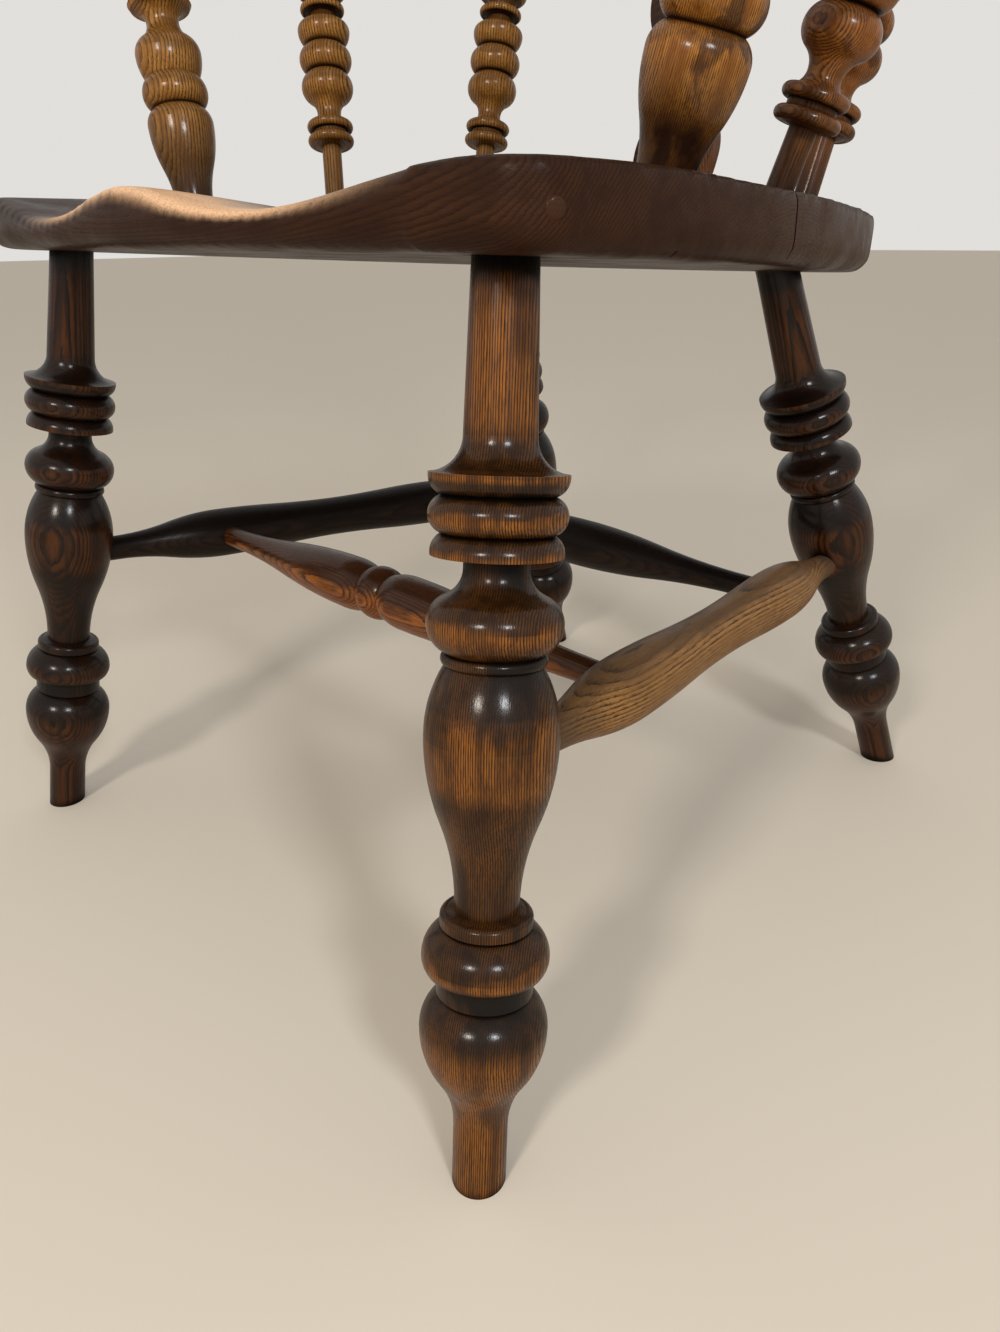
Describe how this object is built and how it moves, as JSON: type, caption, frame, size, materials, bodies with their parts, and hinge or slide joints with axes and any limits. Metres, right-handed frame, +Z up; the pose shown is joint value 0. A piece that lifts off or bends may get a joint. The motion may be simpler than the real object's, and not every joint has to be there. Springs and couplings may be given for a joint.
{
  "type": "windsor armchair",
  "caption": "Windsor armchair: saddled plank seat on splayed turned legs with joined stretchers, turned arm supports, curved arm bow, and a bent hoop back with straight sticks and a splat.",
  "frame": {"origin": "on the floor, under the middle of the chair's width and overall depth", "axes": "+Z up, the chair faces -Y, +X is the sitter's left"},
  "size_m": [0.588, 0.5702, 1.0733],
  "materials": {
    "seat_wood": "stained and polished",
    "leg_wood": "stained and polished",
    "stretcher_wood": "stained and polished",
    "cross_wood": "stained and polished",
    "dark_wood": "stained and polished",
    "spindle_wood": "stained and polished",
    "splat_wood": "stained and polished",
    "arm_wood": "stained and polished",
    "stick_wood": "stained and polished",
    "peg_wood": "stained and polished"
  },
  "bodies": {
    "root": {"arm_back": "arm_wood", "arm_lap_pegs": "peg_wood", "arm_left": "arm_wood", "arm_right": "arm_wood", "back_hoop": "arm_wood", "back_leg_left": "leg_wood", "back_leg_right": "leg_wood", "back_stick_left_1": "stick_wood", "back_stick_left_2": "stick_wood", "back_stick_left_3": "stick_wood", "back_stick_left_4": "stick_wood", "back_stick_right_1": "stick_wood", "back_stick_right_2": "stick_wood", "back_stick_right_3": "stick_wood", "back_stick_right_4": "stick_wood", "front_arm_post_left": "spindle_wood", "front_arm_post_right": "spindle_wood", "front_cross_stretcher": "cross_wood", "front_leg_left": "leg_wood", "front_leg_right": "leg_wood", "leg_pegs": "peg_wood", "lower_splat": "splat_wood", "rear_cross_stretcher": "dark_wood", "rear_spindle_left": "spindle_wood", "rear_spindle_right": "spindle_wood", "seat": "seat_wood", "side_spindle_left": "spindle_wood", "side_spindle_right": "spindle_wood", "side_stretcher_left": "stretcher_wood", "side_stretcher_right": "stretcher_wood", "upper_splat": "splat_wood"}
  },
  "joints": []
}
